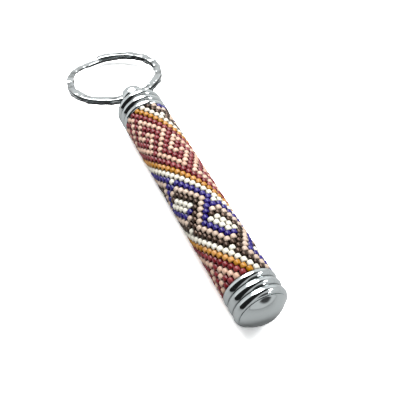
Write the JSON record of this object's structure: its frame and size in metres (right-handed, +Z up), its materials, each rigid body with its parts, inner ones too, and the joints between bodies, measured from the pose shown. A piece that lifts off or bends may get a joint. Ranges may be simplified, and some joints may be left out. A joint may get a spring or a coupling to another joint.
{
  "type": "keyring mezuzah case",
  "caption": "Slim bead-woven tube case with ribbed polished end caps, a screw-off ball finial, a rolled parchment inside and a hammered split ring.",
  "frame": {"origin": "on the case's axis, at the middle of the object's volume, 3.5 mm from the middle of the beadwork towards the finial", "axes": "+Y along the case towards the ball finial and ring, +Z up with the case lying on its side, +X to the right"},
  "size_m": [0.0286, 0.1057, 0.013],
  "materials": {
    "beads": "gloss",
    "polished_metal": "mirror polished",
    "hammered_metal": "hammered and polished",
    "brass": "turned",
    "rubber": "matte",
    "parchment": "matte"
  },
  "bodies": {
    "case": {"bead_sleeve": "beads", "inner_tube": "brass", "threaded_collar": "brass", "bottom_ferrule": "polished_metal", "bottom_dome": "polished_metal"},
    "cap_lift": {"seal_washer": "rubber"},
    "cap": {"top_ferrule": "polished_metal", "ball_finial": "polished_metal"},
    "ring": {"split_ring": "hammered_metal"},
    "scroll": {"parchment_scroll": "parchment"}
  },
  "joints": [
    {"name": "cap_rise", "type": "slide", "parent": "case", "child": "cap_lift", "axis": [0, 1, 0], "range_m": [0, 0.0041]},
    {"name": "cap_turn", "type": "hinge", "parent": "cap_lift", "child": "cap", "pos_m": [0, 0.0255, 0], "axis": [0, 1, 0], "range_deg": [0, 1440]},
    {"name": "ring_swing", "type": "hinge", "parent": "cap", "child": "ring", "pos_m": [0, 0.03712, 0], "axis": [1, 0, 0], "range_deg": [-147, 167]},
    {"name": "scroll_slide", "type": "slide", "parent": "case", "child": "scroll", "axis": [0, 1, 0], "range_m": [-0.003, 0.003]}
  ],
  "couplings": [
    {"joint": "cap_rise", "follows": "cap_turn", "m_per_rad": 0.00015915}
  ]
}
